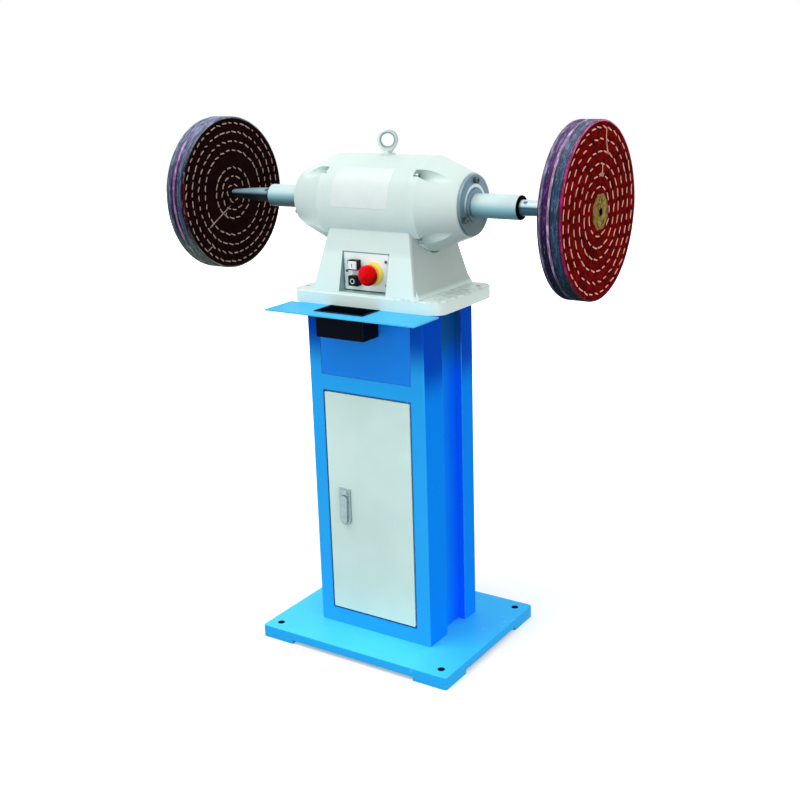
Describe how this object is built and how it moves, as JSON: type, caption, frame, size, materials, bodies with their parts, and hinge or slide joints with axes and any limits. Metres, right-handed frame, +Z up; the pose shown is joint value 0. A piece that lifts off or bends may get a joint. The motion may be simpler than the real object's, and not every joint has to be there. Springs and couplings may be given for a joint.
{
  "type": "pedestal buffing machine",
  "caption": "Floor-standing buffing machine: a motor head with long sleeved spindle ends carries stitched cloth buffs on a steel cabinet column with door, tray and lifting eye.",
  "frame": {"origin": "on the floor under the middle of the base plate", "axes": "+X along the spindle to the right wheel, +Y to the back, +Z up"},
  "size_m": [0.98, 0.4, 1.178],
  "materials": {
    "base_blue": "semi-gloss paint",
    "column_blue": "semi-gloss paint",
    "tray_blue": "semi-gloss paint",
    "pot_black": "black paint",
    "door_mint": "semi-gloss paint",
    "bright_steel": "ground steel",
    "latch_zinc": "plated zinc",
    "cast_white": "gloss paint over casting",
    "flange_steel": "turned steel",
    "sleeve_steel": "satin",
    "seal_rubber": "matt",
    "core_iron": "laminated sheet",
    "winding_copper": "varnished wire",
    "spindle_steel": "polished",
    "buff_cloth_right": "sewn cloth",
    "buff_cloth_left": "sewn cloth",
    "patch_leather": "worn hide",
    "eye_steel": "plated",
    "switch_grey": "satin plate",
    "switch_black": "moulded",
    "key_white": "moulded",
    "stop_yellow": "moulded",
    "stop_red": "moulded"
  },
  "bodies": {
    "stand_and_head": {"base_plate": "base_blue", "foot_pads": "base_blue", "column_front": "column_blue", "column_back": "column_blue", "column_web_left": "column_blue", "column_web_right": "column_blue", "column_top_plate": "column_blue", "upper_panel": "column_blue", "tray_plate": "tray_blue", "hinge_brackets": "column_blue", "latch_strike": "column_blue", "head_casting": "cast_white", "casting_bolts": "bright_steel", "casting_nuts": "bright_steel", "end_bell_left": "cast_white", "end_bell_right": "cast_white", "bell_screws": "bright_steel", "bearing_cap_left": "flange_steel", "bearing_cap_right": "flange_steel", "cap_screws": "bright_steel", "sleeve_left": "sleeve_steel", "sleeve_right": "sleeve_steel", "sleeve_seals": "seal_rubber", "stator_core": "core_iron", "stator_windings": "winding_copper", "bearing_outer_rings": "bright_steel", "eye_bolt": "eye_steel", "switch_panel": "switch_grey", "panel_screws": "bright_steel", "switch_block": "switch_black", "button_bezels": "switch_black", "estop_collar": "stop_yellow", "cable_gland": "switch_black", "gland_locknut": "switch_black"},
    "spindle": {"rotor_core": "core_iron", "rotor_shaft": "bright_steel", "bearing_inner_rings": "bright_steel", "bearing_balls": "bright_steel", "taper_spindle_left": "spindle_steel", "taper_spindle_right": "spindle_steel", "buff_left_inner": "buff_cloth_left", "buff_left_outer": "buff_cloth_left", "buff_right_inner": "buff_cloth_right", "buff_right_outer": "buff_cloth_right", "hub_patches": "patch_leather"},
    "door": {"cabinet_door": "door_mint", "hinge_pins": "bright_steel", "latch_case": "latch_zinc"},
    "latch": {"latch_handle": "latch_zinc", "latch_cam": "latch_zinc"},
    "latch_key": {"latch_button": "latch_zinc"},
    "pot": {"compound_pot": "pot_black"},
    "start_key": {"start_button": "key_white"},
    "stop_key": {"stop_button": "switch_black"},
    "estop_plunger": {"estop_stem": "stop_red"},
    "estop_mushroom": {"estop_head": "stop_red"}
  },
  "joints": [
    {"name": "spindle_spin", "type": "hinge", "parent": "stand_and_head", "child": "spindle", "pos_m": [0, 0.017, 1.003], "axis": [1, 0, 0], "continuous": true},
    {"name": "door_swing", "type": "hinge", "parent": "stand_and_head", "child": "door", "pos_m": [0.1035, -0.094, 0.3315], "axis": [0, 0, 1], "range_deg": [0, 105]},
    {"name": "latch_turn", "type": "hinge", "parent": "door", "child": "latch", "pos_m": [-0.067, -0.1045, 0.345], "axis": [0, 1, 0], "range_deg": [0, 90]},
    {"name": "latch_press", "type": "slide", "parent": "door", "child": "latch_key", "axis": [0, 1, 0], "range_m": [0, 0.0025], "stiffness_N_per_m": 300},
    {"name": "pot_lift", "type": "slide", "parent": "stand_and_head", "child": "pot", "axis": [0, 0, 1], "range_m": [0, 0.045]},
    {"name": "start_press", "type": "slide", "parent": "stand_and_head", "child": "start_key", "axis": [0, 1, 0], "range_m": [0, 0.003], "stiffness_N_per_m": 400},
    {"name": "stop_press", "type": "slide", "parent": "stand_and_head", "child": "stop_key", "axis": [0, 1, 0], "range_m": [0, 0.003], "stiffness_N_per_m": 400},
    {"name": "estop_push", "type": "slide", "parent": "stand_and_head", "child": "estop_plunger", "axis": [0, 1, 0], "range_m": [0, 0.004], "stiffness_N_per_m": 900},
    {"name": "estop_twist", "type": "hinge", "parent": "estop_plunger", "child": "estop_mushroom", "pos_m": [0.0165, -0.1, 0.862], "axis": [0, 1, 0], "range_deg": [0, 35], "stiffness_Nm_per_rad": 0.1}
  ]
}
